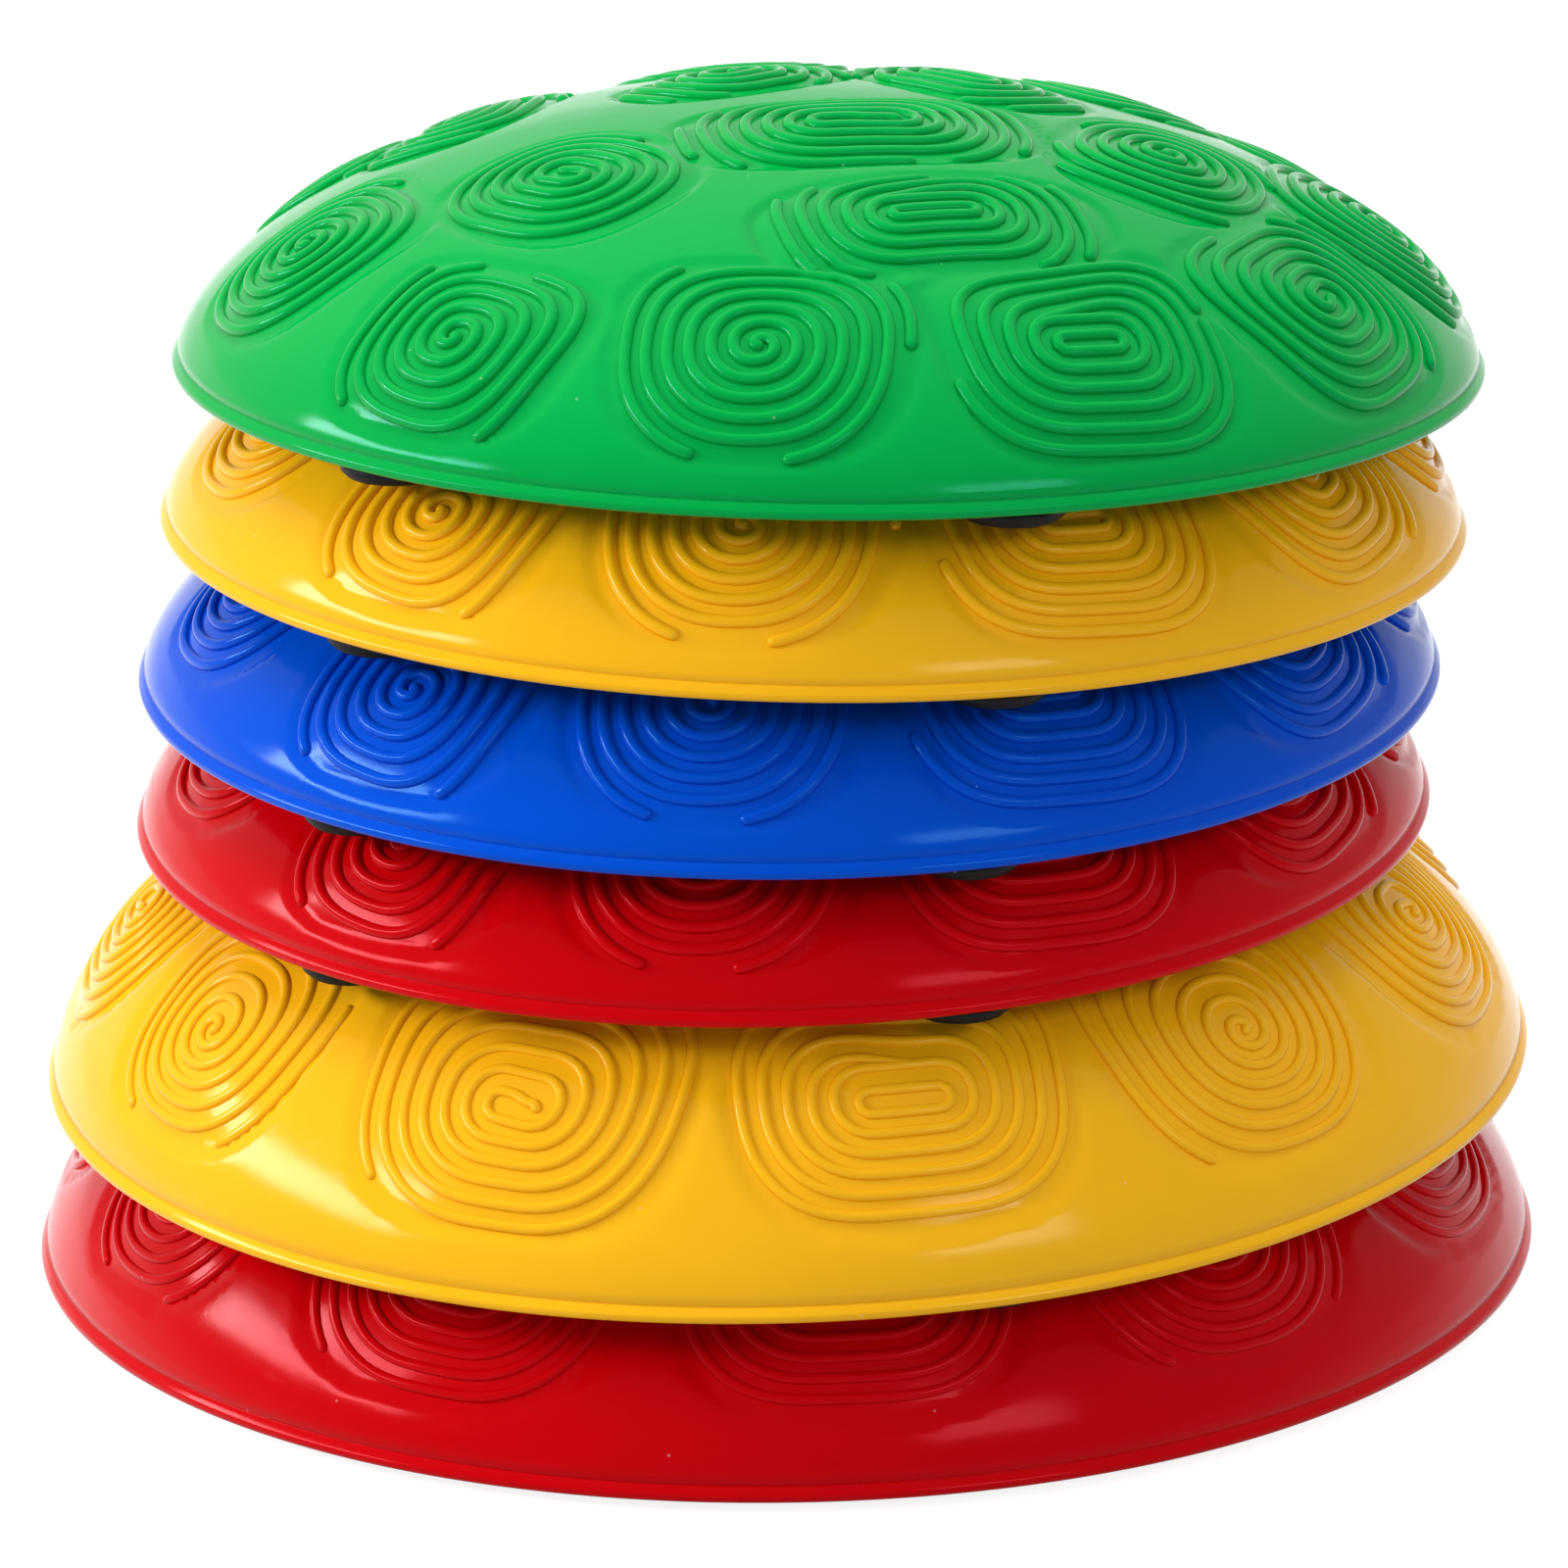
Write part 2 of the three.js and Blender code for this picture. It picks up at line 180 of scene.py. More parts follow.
def wayAt(curve, radius):
    return np.sign(radius) * np.interp(np.abs(radius), curve["radius"], curve["way"])


def radiusAt(curve, way):
    return np.sign(way) * np.interp(np.abs(way), curve["way"], curve["radius"])


# Place on a panel (across to the right, down towards the rim) of points at a way and an angle
def panelPlace(curve, panel, way, angle):
    swing = (angle - panel["angle"] + math.pi) % (2 * math.pi) - math.pi
    radius = radiusAt(curve, way)
    if panel["layout"] == "round":
        return radius * swing, way - wayAt(curve, panel["middle"])
    ahead = radius * np.cos(swing)
    return radius * np.sin(swing), wayAt(curve, ahead) - wayAt(curve, panel["middle"])


def domePlace(curve, panel, x, y):
    down = radiusAt(curve, wayAt(curve, panel["middle"]) + y)
    if panel["layout"] == "round":
        return wayAt(curve, down), panel["angle"] + x / down
    return wayAt(curve, np.hypot(down, x)), panel["angle"] + np.arctan2(x, down)


# Distance outside a panel's outline, less than 0 inside it
def outlineGap(panel, x, y):
    power = panel["outlineShape"]
    reach = ((np.abs(x) / panel["across"]) ** power + (np.abs(y) / panel["along"]) ** power) ** (1 / power)
    return np.hypot(x, y) * (1 - 1 / np.maximum(reach, 1e-6)), reach


def panelRelief(curve, panels, way, angle):
    relief = np.zeros(np.broadcast(way, angle).shape)
    low, high = reliefSizes["edgeInner"], reliefSizes["edgeOuter"]
    for panel in panels:
        x, y = panelPlace(curve, panel, way, angle)
        gap, reach = outlineGap(panel, x, y)
        gap = np.where(reach < 1e-3, -panel["along"], gap)
        step = np.clip((gap - low) / (high - low), 0, 1)
        step = step * step * (3 - 2 * step)
        bulge = np.clip(1 - reach ** 2, 0, 1)
        own = bulge * (panel["pillow"] + panel["moat"]) - panel["moat"] * (1 - step)
        relief = np.where(gap < high, np.where(relief == 0, own, np.minimum(relief, own)), relief)
    return relief


def domePoints(curve, panels, way, angle):
    relief = panelRelief(curve, panels, way, angle)
    radius = np.interp(way, curve["way"], curve["radius"])
    height = np.interp(way, curve["way"], curve["height"])
    normalR = np.interp(way, curve["way"], curve["normalR"])
    normalZ = np.interp(way, curve["way"], curve["normalZ"])
    out = radius + normalR * relief
    return np.stack([out * np.cos(angle), out * np.sin(angle), height + normalZ * relief], -1)


# Points of one or more turns of a ridge in panel places: ray lengths are found by halving,
# and wider turns lie a little lower or higher, so the pitch differs between rim and middle
def turnPoints(panel, phi, distance):
    power = 2 + (panel["turnShape"] - 2) * np.clip(distance / panel["along"], 0, 1.15)
    turned = phi - panel["twist"]
    c, s = np.abs(np.cos(turned)), np.abs(np.sin(turned))
    low, high = np.zeros_like(phi), distance * 1.5 + panel["core"]
    for _ in range(ridgeSizes["halvings"]):
        middle = (low + high) / 2
        size = np.maximum(middle * c - panel["core"], 0) ** power + (middle * s) ** power
        inside = size < distance ** power
        low, high = np.where(inside, middle, low), np.where(inside, high, middle)
    lower = panel["ridge"]["drift"] * (distance - panel["along"])
    return low * np.cos(phi), low * np.sin(phi) + lower


# Even steps along a polyline, finer where it is small
def evenSteps(x, y, step):
    length = np.concatenate([[0], np.cumsum(np.hypot(np.diff(x), np.diff(y)))])
    size = np.clip(np.hypot(x, y) / ridgeSizes["stepGrowth"], ridgeSizes["finestStep"], step)
    count = np.concatenate([[0], np.cumsum(np.diff(length) / ((size[1:] + size[:-1]) / 2))])
    steps = max(4, int(round(count[-1])))
    at = np.interp(np.linspace(0, count[-1], steps + 1), count, length)
    return np.interp(at, length, x), np.interp(at, length, y)


def ridgeRuns(panel):
    runs = []
    pitch = panel["ridge"]["pitch"]
    furthest = math.hypot(panel["across"], panel["along"])
    turns = (furthest - panel["first"]) / pitch
    if panel["closedTurns"]:
        turns = min(turns, panel["closedTurns"])
        phi = np.linspace(0, 2 * math.pi, ridgeSizes["loopPoints"])
        x, y = turnPoints(panel, phi, np.full_like(phi, panel["first"]))
        x, y = evenSteps(x, y, ridgeSizes["loopStep"])
        runs.append((x[:-1], y[:-1], True))
    swept = np.arange(0, turns * 2 * math.pi, math.radians(ridgeSizes["sweepStep"]))
    grown = swept / (2 * math.pi)
    if panel["closedTurns"]:
        turn = np.floor(grown)
        share = np.clip((grown - turn) / ridgeSizes["stepShare"], 0, 1)
        grown = np.where(turn == 0, 1, turn + share * share * (3 - 2 * share))
    distance = panel["first"] + pitch * grown
    x, y = turnPoints(panel, panel["start"] + panel["hand"] * swept, distance)
    gap, _ = outlineGap(panel, x, y)
    inside = gap < -ridgeSizes["edgeRoom"]
    edges = np.flatnonzero(np.diff(inside.astype(int))) + 1
    for part in np.split(np.arange(len(x)), edges):
        if not inside[part[0]] or len(part) < 3:
            continue
        if np.hypot(np.diff(x[part]), np.diff(y[part])).sum() < ridgeSizes["shortest"]:
            continue
        runs.append((*evenSteps(x[part], y[part], panel["ridge"]["step"]), False))
    return runs


# One ridge as a closed body: a half-round section swept over the dome, with round ends
def ridgeBody(curve, panels, panel, run):
    x, y, closed = run
    way, angle = domePlace(curve, panel, x, y)
    base = domePoints(curve, panels, way, angle)
    nudge = 0.4
    radius = np.interp(way, curve["way"], curve["radius"])
    side = nudge / np.maximum(radius, 1.0)
    downhill = domePoints(curve, panels, way + nudge, angle) - domePoints(curve, panels, way - nudge, angle)
    aroundDome = domePoints(curve, panels, way, angle + side) - domePoints(curve, panels, way, angle - side)
    normal = np.cross(downhill, aroundDome)
    normal /= np.linalg.norm(normal, axis=1, keepdims=True)
    if closed:
        along = np.roll(base, -1, 0) - np.roll(base, 1, 0)
    else:
        along = np.gradient(base, axis=0)
    along /= np.linalg.norm(along, axis=1, keepdims=True)
    across = np.cross(normal, along)
    across /= np.linalg.norm(across, axis=1, keepdims=True)
    bend = np.radians(np.array(ridgeSizes["sectionAngles"]))
    half, height, sunk = panel["ridge"]["half"], panel["ridge"]["height"], ridgeSizes["sunk"]
    sectionX = np.concatenate([[half], half * np.cos(bend[1:-1]), [-half]])
    sectionZ = np.concatenate([[-sunk], height * np.sin(bend[1:-1]), [-sunk]])
    rows = [(base[i], across[i], normal[i], 1.0, 0.0, along[i]) for i in range(len(base))]
    if not closed:
        for tilt in ridgeSizes["endAngles"]:
            grow, reach = math.cos(math.radians(tilt)), half * math.sin(math.radians(tilt))
            rows.insert(0, (base[0], across[0], normal[0], grow, -reach, along[0]))
            rows.append((base[-1], across[-1], normal[-1], grow, reach, along[-1]))
    place, sideways, outwards, grow, reach, ahead = (np.array(part) for part in zip(*rows))
    centre = place + ahead * reach[:, None]
    heights = np.where(sectionZ[None, :] > 0, sectionZ[None, :] * grow[:, None], sectionZ[None, :])
    verts = (centre[:, None, :] + sideways[:, None, :] * (sectionX[None, :] * grow[:, None])[..., None]
             + outwards[:, None, :] * heights[..., None])
    count, points = verts.shape[:2]
    faces = []
    for i in range(count if closed else count - 1):
        here, there = i * points, ((i + 1) % count) * points
        for j in range(points):
            k = (j + 1) % points
            faces.append((here + j, here + k, there + k, there + j))
    if not closed:
        faces.append(tuple(range(points - 1, -1, -1)))
        faces.append(tuple((count - 1) * points + j for j in range(points)))
    return verts.reshape(-1, 3), faces


# Faces between two rings of points, which have the same number of sides or one has twice as many
def ringStrip(inner, innerSides, outer, outerSides):
    faces = []
    if innerSides == outerSides:
        for i in range(innerSides):
            k = (i + 1) % innerSides
            faces.append((inner + i, outer + i, outer + k, inner + k))
    elif outerSides == 2 * innerSides:
        for i in range(innerSides):
            k = (i + 1) % innerSides
            middle, last = outer + 2 * i + 1, outer + (2 * i + 2) % outerSides
            faces.append((inner + i, outer + 2 * i, middle))
            faces.append((inner + i, middle, inner + k))
            faces.append((inner + k, middle, last))
    else:
        for i in range(outerSides):
            k = (i + 1) % outerSides
            middle, last = inner + 2 * i + 1, inner + (2 * i + 2) % innerSides
            faces.append((inner + 2 * i, outer + i, middle))
            faces.append((middle, outer + i, outer + k))
            faces.append((middle, outer + k, last))
    return faces


# A closed body from a first middle point, rings of points and a last middle point
def ringBody(first, rings, last):
    verts, faces = [np.array([first])], []
    start, sides = 1, len(rings[0])
    faces += [(0, 1 + i, 1 + (i + 1) % sides) for i in range(sides)]
    verts.append(rings[0])
    for ring in rings[1:]:
        following = start + sides
        faces += ringStrip(start, sides, following, len(ring))
        start, sides = following, len(ring)
        verts.append(ring)
    end = start + sides
    faces += [(start + i, end, start + (i + 1) % sides) for i in range(sides)]
    verts.append(np.array([last]))
    return np.concatenate(verts), faces


def circleAngles(sides):
    return np.arange(sides) * 2 * math.pi / sides


def sidesAt(radius):
    sides = shellSizes["sides"]
    for limit in shellSizes["halvingRadii"]:
        if radius < limit:
            sides //= 2
    return sides


def plainRing(sides, radius, height, centre=(0.0, 0.0)):
    angle = circleAngles(sides)
    return np.stack([centre[0] + radius * np.cos(angle), centre[1] + radius * np.sin(angle),
                     np.full(sides, float(height))], -1)


def innerHeight(size, radius):
    edge = size["rimRadius"] - shellSizes["wall"]
    share = np.clip(np.abs(radius) / edge, 0, 1)
    return (size["domeHeight"] - shellSizes["wall"]) * (
        (1 - share ** shellSizes["domePower"]) ** shellSizes["domeRoundness"])


def footAngle(index):
    return math.radians(shellSizes["firstFoot"] + 360 / shellSizes["footCount"] * index)


def footCentre(size, index):
    angle = footAngle(index)
    return size["footRing"] * math.cos(angle), size["footRing"] * math.sin(angle)


# The moulded shell: outer dome with its panels, lip, hollow underside and bored bosses
def shellBody(mould):
    size = shellSizes[mould]
    curve = domeCurve(size)
    panels = [readPanel(row, mould) for row in panelTables[mould]]
    rim = size["rimRadius"]
    edge = rim - shellSizes["lipStep"]
    whole = curve["way"][-1] - 0.5
    ways = np.linspace(0, whole, int(round(whole / size["ringStep"])) + 1)
    rings = []
    for way in ways[1:]:
        sides = sidesAt(float(np.interp(way, curve["way"], curve["radius"])))
        rings.append(domePoints(curve, panels, np.full(sides, way), circleAngles(sides)))
    sides = shellSizes["sides"]
    rings += [plainRing(sides, rim + out, height) for out, height in lipProfile]
    innerEdge = rim - shellSizes["wall"]
    for turn in np.linspace(*shellSizes["innerTurns"], shellSizes["innerRings"]):
        radius = innerEdge * math.cos(turn * math.pi / 2)
        sides = max(shellSizes["fewestInnerSides"], sidesAt(radius) // 2)
        angle = circleAngles(sides)
        height = innerHeight(size, radius)
        way = wayAt(curve, np.full(sides, radius * edge / innerEdge))
        sunk = shellSizes["innerRelief"] * panelRelief(curve, panels, way, angle)
        ring = plainRing(sides, radius, height)
        ring[:, 2] += sunk * np.interp(way, curve["way"], curve["normalZ"])
        rings.append(ring)
    top = domePoints(curve, panels, np.array([0.0]), np.array([0.0]))[0]
    under = (0.0, 0.0, float(innerHeight(size, 0.0)))
    verts, faces = ringBody(tuple(top), rings, under)
    bodies = [(verts, faces)]
    for panel in panels:
        for run in ridgeRuns(panel):
            bodies.append(ridgeBody(curve, panels, panel, run))
    for index in range(shellSizes["footCount"]):
        bodies.append(bossBody(size, index))
    return joinBodies(bodies)


def bossBody(size, index):
    centre = footCentre(size, index)
    outer, bore, depth = shellSizes["bossRadius"], shellSizes["boreRadius"], shellSizes["boreDepth"]
    overlap = shellSizes["bossOverlap"]
    rings = []
    profile = [
        (outer, None), (outer, 0.7), (outer - 0.5, 0.1), (bore + 0.5, 0.1), (bore, 0.6), (bore, depth),
    ]
    for radius, height in profile:
        ring = plainRing(shellSizes["bossSides"], radius, 0 if height is None else height, centre)
        if height is None:
            ring[:, 2] = innerHeight(size, np.hypot(ring[:, 0], ring[:, 1])) + overlap
        rings.append(ring)
    top = float(innerHeight(size, size["footRing"])) + overlap
    return ringBody((*centre, top), rings, (*centre, depth))


def joinBodies(bodies):
    verts, faces, start = [], [], 0
    for points, sides in bodies:
        verts.append(points)
        faces += [tuple(start + i for i in face) for face in sides]
        start += len(points)
    return np.concatenate(verts), faces


footSizes = {
    "sides": 56,
    "padRadius": 13.5,
    "stemRadius": 4.0,
    "stemLength": 11.0,
    "seatGap": 0.3,
}


# The rubber foot: a two-stepped pad with a ringed sole, and a stem with two barbs
def footBody(size, index):
    sole = -size["footDrop"]
    pad, stem, top = footSizes["padRadius"], footSizes["stemRadius"], -footSizes["seatGap"]
    end = top + footSizes["stemLength"]
    profile = [
        (stem - 1.4, end), (stem - 0.5, end - 0.9), (stem, end - 2.2), (stem - 0.45, end - 2.5),
        (stem - 0.45, end - 4.2), (stem, end - 5.6), (stem - 0.35, end - 5.9), (stem - 0.35, top + 0.5),
        (stem + 0.1, top), (pad - 0.7, top), (pad - 0.2, top - 0.2), (pad, top - 0.6),
        (pad, sole + 2.3), (pad - 0.25, sole + 1.95), (pad - 1.0, sole + 1.75), (pad - 1.15, sole + 1.6),
        (pad - 1.2, sole + 1.1), (pad - 1.7, sole + 0.6), (pad - 2.6, sole + 0.22), (pad - 3.9, sole),
    ]
    for groove in (7.6, 5.2):
        profile += [(groove + 0.75, sole), (groove + 0.45, sole + 0.45)]
        profile += [(groove - 0.45, sole + 0.45), (groove - 0.75, sole)]
    profile += [(3.0, sole), (2.6, sole + 0.7)]
    centre = footCentre(size, index)
    rings = [plainRing(footSizes["sides"], radius, height, centre) for radius, height in profile]
    return ringBody((*centre, end), rings, (*centre, sole + 0.7))


# Where a stone lies: a fit of its six foot places to the feet of the model, and its rim at height 0
def stonePlace(name, size):
    count = shellSizes["footCount"]
    local = np.array([[*footCentre(size, i), 0.0] for i in range(count)])
    found = []
    for i in range(count):
        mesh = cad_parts[f"{name}_foot_{i + 1}"].data
        found.append(np.mean([v.co for v in mesh.vertices], axis=0) / mm)
    found = np.array(found)
    middle = found.mean(0)
    u, _, vt = np.linalg.svd((local - local.mean(0)).T @ (found - middle))
    turn = vt.T @ np.diag([1, 1, np.sign(np.linalg.det(vt.T @ u.T))]) @ u.T
    shell = np.array([v.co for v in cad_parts[f"{name}_shell"].data.vertices]) / mm
    low = ((shell - middle) @ turn)[:, 2].min()
    return turn, middle + turn[:, 2] * low


def makeObject(name, verts, faces, material):
    mesh = bpy.data.meshes.new(name)
    mesh.from_pydata((verts * mm).tolist(), [], faces)
    mesh.validate()
    mesh.shade_smooth()
    mesh.materials.append(material)
    piece = bpy.data.objects.new(name, mesh)
    bpy.context.scene.collection.objects.link(piece)
    return piece


# Materials
def addNode(tree, kind, values=None, **settings):
    node = tree.nodes.new(kind)
    for name, value in settings.items():
        setattr(node, name, value)
    for name, value in (values or {}).items():
        node.inputs[name].default_value = value
    return node


def startGroup(name, inputs, outputs):
    group = bpy.data.node_groups.new(name, "ShaderNodeTree")
    for label, kind, value in inputs:
        socket = group.interface.new_socket(label, in_out="INPUT", socket_type=kind)
        if value is not None:
            socket.default_value = value
    for label, kind in outputs:
        group.interface.new_socket(label, in_out="OUTPUT", socket_type=kind)
    return group, group.nodes.new("NodeGroupInput"), group.nodes.new("NodeGroupOutput")


def mathNode(group, operation, first, second):
    node = addNode(group, "ShaderNodeMath", operation=operation)
    for socket, value in zip(node.inputs, (first, second)):
        if isinstance(value, (int, float)):
            socket.default_value = value
        else:
            group.links.new(value, socket)
    return node.outputs[0]


# Noise of a size given in metres
def sizedNoise(group, source, vector, size, detail, roughness=0.5):
    noise = addNode(group, "ShaderNodeTexNoise", {"Detail": detail, "Roughness": roughness})
    group.links.new(vector, noise.inputs["Vector"])
    group.links.new(mathNode(group, "DIVIDE", 1.0, source.outputs[size]), noise.inputs["Scale"])
    return noise.outputs["Fac"]


def mouldedSkinGroup():
    group, source, result = startGroup("mouldedSkin", [
        ("Vector", "NodeSocketVector", None),
        ("Grain Size", "NodeSocketFloat", 0.0006),
        ("Grain Height", "NodeSocketFloat", 0.3),
        ("Ripple Size", "NodeSocketFloat", 0.02),
        ("Ripple Height", "NodeSocketFloat", 1.0),
    ], [("Height", "NodeSocketFloat")])
    grain = sizedNoise(group, source, source.outputs["Vector"], "Grain Size", 2.0, 0.6)
    ripple = sizedNoise(group, source, source.outputs["Vector"], "Ripple Size", 1.0)
    fine = mathNode(group, "MULTIPLY", grain, source.outputs["Grain Height"])
    broad = mathNode(group, "MULTIPLY", ripple, source.outputs["Ripple Height"])
    group.links.new(mathNode(group, "ADD", fine, broad), result.inputs["Height"])
    return group


markShapes = {
    "stretch": {"Scale": (1.0, 0.35, 2.2), "Rotation": (0.3, 0.2, 0.7)},
    "scuffRange": {"From Min": 0.56, "From Max": 0.74},
    "speckRadius": 0.06,
}


def handlingMarksGroup():
    group, source, result = startGroup("handlingMarks", [
        ("Vector", "NodeSocketVector", None),
        ("Scuff Size", "NodeSocketFloat", 0.012),
        ("Speck Size", "NodeSocketFloat", 0.006),
        ("Speck Share", "NodeSocketFloat", 0.1),
    ], [("Scuffs", "NodeSocketFloat"), ("Specks", "NodeSocketFloat")])
    stretch = addNode(group, "ShaderNodeMapping", markShapes["stretch"])
    group.links.new(source.outputs["Vector"], stretch.inputs["Vector"])
    scuffs = sizedNoise(group, source, stretch.outputs["Vector"], "Scuff Size", 6.0, 0.7)
    patch = addNode(group, "ShaderNodeMapRange", markShapes["scuffRange"])
    group.links.new(scuffs, patch.inputs["Value"])
    group.links.new(patch.outputs["Result"], result.inputs["Scuffs"])
    cells = addNode(group, "ShaderNodeTexVoronoi", {"Randomness": 1.0})
    group.links.new(source.outputs["Vector"], cells.inputs["Vector"])
    group.links.new(mathNode(group, "DIVIDE", 1.0, source.outputs["Speck Size"]), cells.inputs["Scale"])
    picked = addNode(group, "ShaderNodeSeparateColor")
    group.links.new(cells.outputs["Color"], picked.inputs["Color"])
    chosen = mathNode(group, "LESS_THAN", picked.outputs["Red"], source.outputs["Speck Share"])
    near = mathNode(group, "LESS_THAN", cells.outputs["Distance"], markShapes["speckRadius"])
    group.links.new(mathNode(group, "MULTIPLY", chosen, near), result.inputs["Specks"])
    return group


def tintDriftGroup():
    group, source, result = startGroup("tintDrift", [
        ("Vector", "NodeSocketVector", None),
        ("Colour", "NodeSocketColor", None),
        ("Size", "NodeSocketFloat", 0.03),
        ("Amount", "NodeSocketFloat", 0.06),
    ], [("Colour", "NodeSocketColor")])
    drift = sizedNoise(group, source, source.outputs["Vector"], "Size", 3.0, 0.6)
    swing = mathNode(group, "MULTIPLY", mathNode(group, "SUBTRACT", drift, 0.5), source.outputs["Amount"])
    shade = addNode(group, "ShaderNodeHueSaturation")
    group.links.new(mathNode(group, "ADD", 1.0, swing), shade.inputs["Value"])
    group.links.new(source.outputs["Colour"], shade.inputs["Color"])
    group.links.new(shade.outputs["Color"], result.inputs["Colour"])
    return group


skinGroup, marksGroup, tintGroup = mouldedSkinGroup(), handlingMarksGroup(), tintDriftGroup()

plasticLooks = {
    "red": {"colour": (0.56, 0.0004, 0.003, 1), "shine": (1.0, 0.2, 0.25, 1), "roughness": 0.13},
    "yellow": {"colour": (0.88, 0.44, 0.006, 1), "shine": (1.0, 0.95, 0.7, 1), "roughness": 0.13},
    "blue": {"colour": (0.0003, 0.067, 0.57, 1), "shine": (0.2, 0.7, 1.0, 1), "roughness": 0.13},
    "green": {"colour": (0.0004, 0.33, 0.05, 1), "shine": (0.2, 0.85, 1.0, 1), "roughness": 0.13},
}
finishes = {
    "plastic": {"specular": 0.5, "ior": 1.25, "bump": 0.00006, "grainSize": 0.0007, "grainHeight": 0.30,
                "rippleSize": 0.016, "rippleHeight": 1.6, "scuffRoughness": 0.16, "speckShare": 0.07,
                "speckTint": (0.9, 0.9, 0.88, 1), "speckMix": 0.15, "tint": 0.10, "tintSize": 0.03},
    "rubber": {"specular": 0.1, "ior": 1.5, "bump": 0.00012, "grainSize": 0.0005, "grainHeight": 1.2,
               "rippleSize": 0.005, "rippleHeight": 0.5, "scuffRoughness": 0.10, "speckShare": 0.2,
               "speckTint": (0.35, 0.34, 0.33, 1), "speckMix": 0.5, "tint": 0.35, "tintSize": 0.006},
}


def makeFinish(name, colour, shine, roughness, finish):
    material = bpy.data.materials.new(name)
    material.use_nodes = True
    tree = material.node_tree
    shader = tree.nodes["Principled BSDF"]
    shader.inputs["Specular IOR Level"].default_value = finish["specular"]
    shader.inputs["IOR"].default_value = finish["ior"]
    shader.inputs["Specular Tint"].default_value = shine
    place = addNode(tree, "ShaderNodeTexCoord").outputs["Object"]
    skin = addNode(tree, "ShaderNodeGroup", node_tree=skinGroup)
    marks = addNode(tree, "ShaderNodeGroup", node_tree=marksGroup)
    tint = addNode(tree, "ShaderNodeGroup", node_tree=tintGroup)
    for group in (skin, marks, tint):
        tree.links.new(place, group.inputs["Vector"])
    skin.inputs["Grain Size"].default_value = finish["grainSize"]
    skin.inputs["Grain Height"].default_value = finish["grainHeight"]
    skin.inputs["Ripple Size"].default_value = finish["rippleSize"]
    skin.inputs["Ripple Height"].default_value = finish["rippleHeight"]
    marks.inputs["Speck Share"].default_value = finish["speckShare"]
    tint.inputs["Colour"].default_value = colour
    tint.inputs["Amount"].default_value = finish["tint"]
    tint.inputs["Size"].default_value = finish["tintSize"]
    specked = addNode(tree, "ShaderNodeMix", data_type="RGBA")
    speckAmount = mathNode(tree, "MULTIPLY", marks.outputs["Specks"], finish["speckMix"])
    tree.links.new(speckAmount, specked.inputs["Factor"])
    tree.links.new(tint.outputs["Colour"], specked.inputs[6])
    specked.inputs[7].default_value = finish["speckTint"]
    tree.links.new(specked.outputs[2], shader.inputs["Base Color"])
    worn = mathNode(tree, "MULTIPLY", marks.outputs["Scuffs"], finish["scuffRoughness"])
    tree.links.new(mathNode(tree, "ADD", worn, roughness), shader.inputs["Roughness"])
    bump = addNode(tree, "ShaderNodeBump", {"Strength": 1.0, "Distance": finish["bump"]})
    tree.links.new(skin.outputs["Height"], bump.inputs["Height"])
    tree.links.new(bump.outputs["Normal"], shader.inputs["Normal"])
    return material


plastics = {name: makeFinish(name + "MouldedPlastic", look["colour"], look["shine"], look["roughness"],
                           finishes["plastic"])
            for name, look in plasticLooks.items()}
rubber = makeFinish("blackFootRubber", (0.006, 0.006, 0.006, 1), (1, 1, 1, 1), 0.42, finishes["rubber"])
print("materials made")

# The stones
shells = {mould: shellBody(mould) for mould in panelTables}
for mould, (verts, faces) in shells.items():
    print("shell", mould, len(verts), "points", sum(len(face) - 2 for face in faces), "triangles")
for name, stone in stones.items():
    size = shellSizes[stone["mould"]]
    turn, place = stonePlace(name, size)
    verts, faces = shells[stone["mould"]]
    shell = makeObject(name + "_moulded_shell", verts @ turn.T + place, faces, plastics[stone["colour"]])
    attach(shell, name + "_stone")
    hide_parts(name + "_shell")
    for index in range(shellSizes["footCount"]):
        points, sides = footBody(size, index)
        foot = makeObject(f"{name}_rubber_foot_{index + 1}", points @ turn.T + place, sides, rubber)
        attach(foot, name + "_stone")
        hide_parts(f"{name}_foot_{index + 1}")
    print("stone", name, "at", [round(float(v), 2) for v in place])

# Camera, as a fit of the six rims to the photograph
cameraFit = {
    "distance": 2000.0,
    "pitch": 17.006,
    "roll": 0.859,
    "focal": 7464.4,
    "aside": -1.15,
    "rise": -121.53,
    "frameWidth": 1600.0,
    "sensorWidth": 36.0,
    "clip": (0.05, 100),
}
pitch, roll = math.radians(cameraFit["pitch"]), math.radians(cameraFit["roll"])
right = Vector((1, 0, 0))
upward = Vector((0, math.sin(pitch), math.cos(pitch)))
ahead = Vector((0, math.cos(pitch), -math.sin(pitch)))
cameraRight = math.cos(roll) * right - math.sin(roll) * upward
cameraUp = math.sin(roll) * right + math.cos(roll) * upward
eye = -right * cameraFit["aside"] - upward * cameraFit["rise"] - ahead * cameraFit["distance"]
cameraData = bpy.data.cameras.new("camera")
cameraData.sensor_width = cameraFit["sensorWidth"]
cameraData.lens = cameraData.sensor_width * cameraFit["focal"] / cameraFit["frameWidth"]
cameraData.clip_start, cameraData.clip_end = cameraFit["clip"]
camera = bpy.data.objects.new("camera", cameraData)
bpy.context.scene.collection.objects.link(camera)
axes = Matrix((cameraRight, cameraUp, -ahead)).transposed().to_4x4()
camera.matrix_world = Matrix.Translation(eye * mm) @ axes
bpy.context.scene.camera = camera

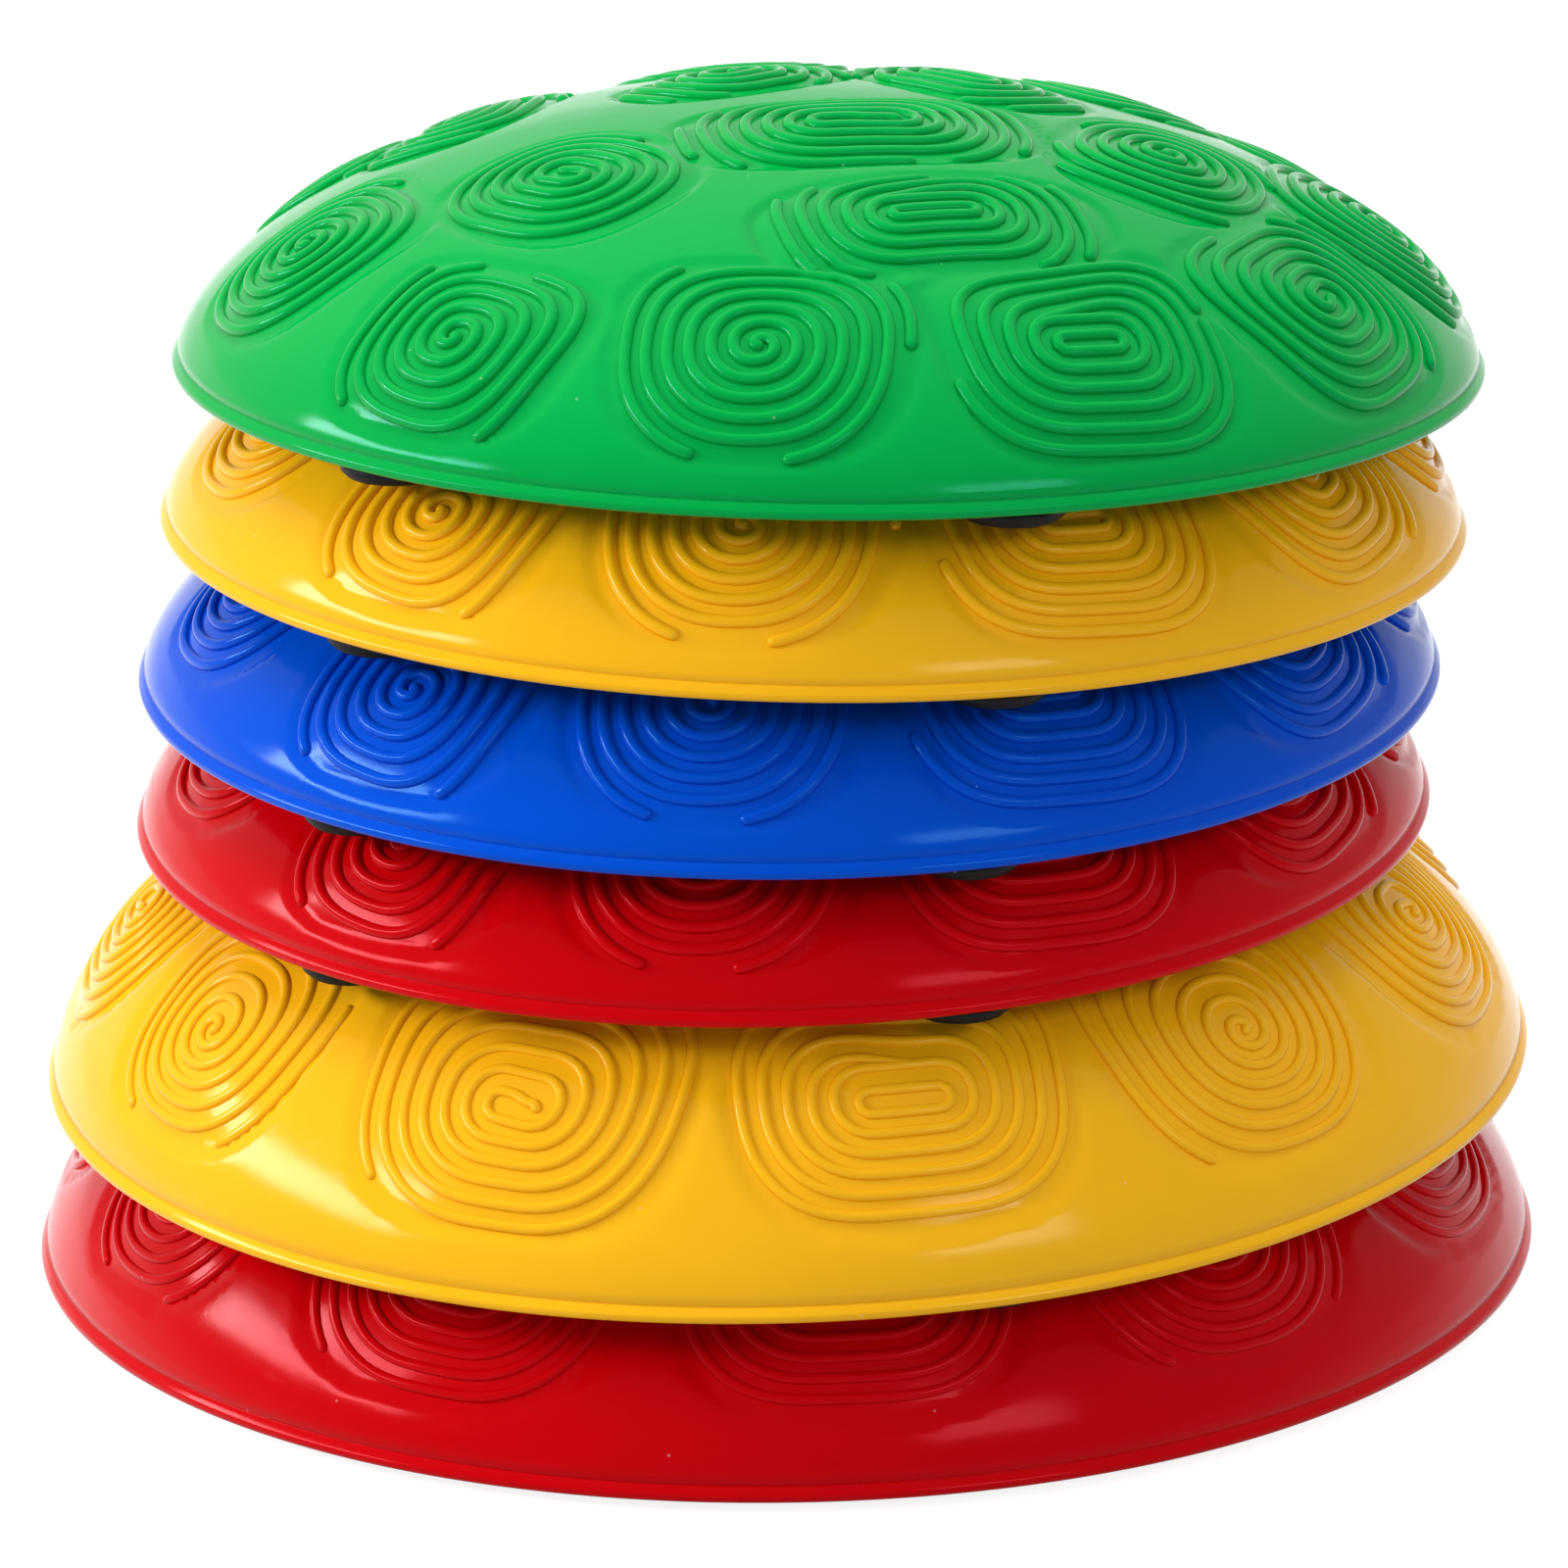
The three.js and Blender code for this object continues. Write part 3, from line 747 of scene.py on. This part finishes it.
# Floor and low backdrop of white paper
paperSizes = {
    "sides": 96,
    "profile": ((0.5, 0.0), (11.64, 0.0), (12.0, 0.25), (12.0, 2.0)),
    "glow": 0.85,
    "tint": (0.4, 0.4, 0.4, 1),
}
paperRings = []
for radius, height in paperSizes["profile"]:
    paperRings.append(plainRing(paperSizes["sides"], radius / mm, height / mm))
paperVerts = np.concatenate([np.zeros((1, 3))] + paperRings)
paperFaces = [(0, 1 + i, 1 + (i + 1) % paperSizes["sides"]) for i in range(paperSizes["sides"])]
for ring in range(len(paperRings) - 1):
    start = 1 + ring * paperSizes["sides"]
    paperFaces += ringStrip(start, paperSizes["sides"], start + paperSizes["sides"], paperSizes["sides"])
paperMaterial = bpy.data.materials.new("whitePaper")
paperMaterial.use_nodes = True
paperTree = paperMaterial.node_tree
paperTree.nodes.remove(paperTree.nodes["Principled BSDF"])
paperDiffuse = addNode(paperTree, "ShaderNodeBsdfDiffuse", {"Color": paperSizes["tint"]})
paperGlow = addNode(paperTree, "ShaderNodeEmission")
paperRays = addNode(paperTree, "ShaderNodeLightPath").outputs
mirrored = mathNode(paperTree, "MAXIMUM", paperRays["Is Glossy Ray"], paperRays["Is Transmission Ray"])
seen = mathNode(paperTree, "MAXIMUM", paperRays["Is Camera Ray"], mirrored)
glow = mathNode(paperTree, "MULTIPLY", seen, paperSizes["glow"])
paperTree.links.new(glow, paperGlow.inputs["Strength"])
paperBoth = addNode(paperTree, "ShaderNodeAddShader")
paperTree.links.new(paperDiffuse.outputs[0], paperBoth.inputs[0])
paperTree.links.new(paperGlow.outputs[0], paperBoth.inputs[1])
paperTree.links.new(paperBoth.outputs[0], paperTree.nodes["Material Output"].inputs["Surface"])
paper = makeObject("paperFloor", paperVerts, paperFaces, paperMaterial)

# Lights: place, size, power in watts and whether gloss mirrors them, all aimed at the middle of the nest
lightTarget = Vector((0, 0, 0.16))
lights = {
    "leftSoftbox": {"place": (-1.9, -0.3, 0.90), "size": (1.45, 0.31), "power": 32.0, "mirrored": True},
    "rightSoftbox": {"place": (1.05, -1.72, 1.14), "size": (0.75, 0.42), "power": 8.0, "mirrored": True},
    "overheadSoftbox": {"place": (-0.15, 0.5, 2.25), "size": (2.6, 1.8), "power": 46.0, "mirrored": False},
}
for name, light in lights.items():
    lamp = bpy.data.lights.new(name, "AREA")
    lamp.shape = "RECTANGLE"
    lamp.size, lamp.size_y = light["size"]
    lamp.energy = light["power"]
    holder = bpy.data.objects.new(name, lamp)
    holder.location = light["place"]
    holder.visible_glossy = light["mirrored"]
    holder.rotation_euler = (lightTarget - Vector(light["place"])).to_track_quat("-Z", "Y").to_euler()
    bpy.context.scene.collection.objects.link(holder)

roomLight = {"colour": (0.95, 0.97, 1.0, 1), "strength": 0.68}
world = bpy.data.worlds.new("studio")
world.use_nodes = True
background = world.node_tree.nodes["Background"]
background.inputs["Color"].default_value = roomLight["colour"]
background.inputs["Strength"].default_value = roomLight["strength"]
bpy.context.scene.world = world
bpy.context.scene.view_settings.view_transform = "Standard"
